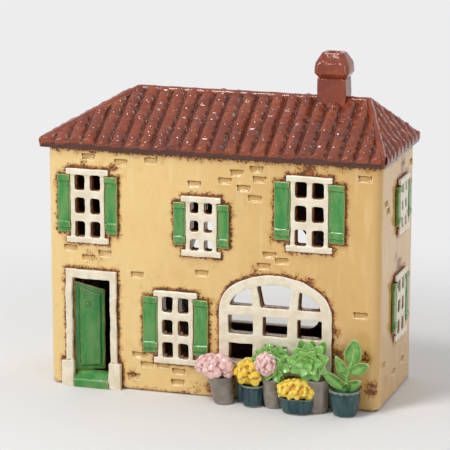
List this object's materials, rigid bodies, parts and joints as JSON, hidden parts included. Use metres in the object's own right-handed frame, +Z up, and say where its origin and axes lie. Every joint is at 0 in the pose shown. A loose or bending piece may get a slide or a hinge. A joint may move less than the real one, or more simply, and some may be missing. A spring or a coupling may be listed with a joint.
{
  "type": "tealight house",
  "caption": "Glazed stoneware tealight house with a hipped tile roof, green shutters, flower pots and a rear opening.",
  "frame": {"origin": "middle of the walls' footprint, on the surface that the house stands on", "axes": "+Z up, -Y out of the front with the door, +X towards the end with the chimney"},
  "size_m": [0.1857, 0.0904, 0.18],
  "materials": {
    "wall_glaze": "gloss",
    "inside_glaze": "gloss",
    "roof_glaze": "gloss",
    "cream_glaze": "gloss",
    "green_glaze": "gloss",
    "grey_glaze": "satin",
    "teal_glaze": "gloss",
    "pink_glaze": "gloss",
    "yellow_glaze": "gloss",
    "leaf_glaze": "gloss",
    "cup_metal": "satin",
    "wax": "satin",
    "wick": "matte"
  },
  "bodies": {
    "house": {"front_wall": "wall_glaze", "back_wall": "wall_glaze", "left_wall": "wall_glaze", "right_wall": "wall_glaze", "base_slab": "inside_glaze", "front_roof_slab": "roof_glaze", "back_roof_slab": "roof_glaze", "left_roof_slab": "roof_glaze", "right_roof_slab": "roof_glaze", "ridge_cap": "roof_glaze", "front_left_hip_cap": "roof_glaze", "front_right_hip_cap": "roof_glaze", "back_left_hip_cap": "roof_glaze", "back_right_hip_cap": "roof_glaze", "chimney_stack": "roof_glaze", "chimney_cap": "roof_glaze", "arched_window_frame": "cream_glaze", "door_surround": "cream_glaze", "upper_left_window_frame": "cream_glaze", "upper_middle_window_frame": "cream_glaze", "upper_right_window_frame": "cream_glaze", "lower_front_window_frame": "cream_glaze", "right_upper_window_frame": "cream_glaze", "right_lower_window_frame": "cream_glaze", "left_upper_window_frame": "cream_glaze", "left_lower_window_frame": "cream_glaze", "door_leaf": "green_glaze", "door_knob": "green_glaze", "door_step": "green_glaze", "upper_left_shutters": "green_glaze", "upper_middle_shutters": "green_glaze", "upper_right_shutters": "green_glaze", "lower_front_shutters": "green_glaze", "right_upper_shutters": "green_glaze", "right_lower_shutters": "green_glaze", "left_upper_shutters": "green_glaze", "left_lower_shutters": "green_glaze", "first_pot": "grey_glaze", "third_pot": "grey_glaze", "fifth_pot": "grey_glaze", "second_pot": "teal_glaze", "fourth_pot": "teal_glaze", "sixth_pot": "teal_glaze", "first_pot_blossom": "pink_glaze", "third_pot_blossom": "pink_glaze", "second_pot_blossom": "yellow_glaze", "fourth_pot_blossom": "yellow_glaze", "third_pot_leaves": "leaf_glaze", "fifth_pot_leaves": "leaf_glaze", "sixth_pot_leaves": "leaf_glaze"},
    "tealight": {"tealight_cup": "cup_metal", "tealight_wax": "wax", "tealight_wick": "wick", "wick_sustainer": "cup_metal"}
  },
  "joints": [
    {"name": "tealight_lift_out", "type": "slide", "parent": "house", "child": "tealight", "axis": [-0.3625, 0.659, 0.659], "range_m": [0, 0.1]}
  ]
}
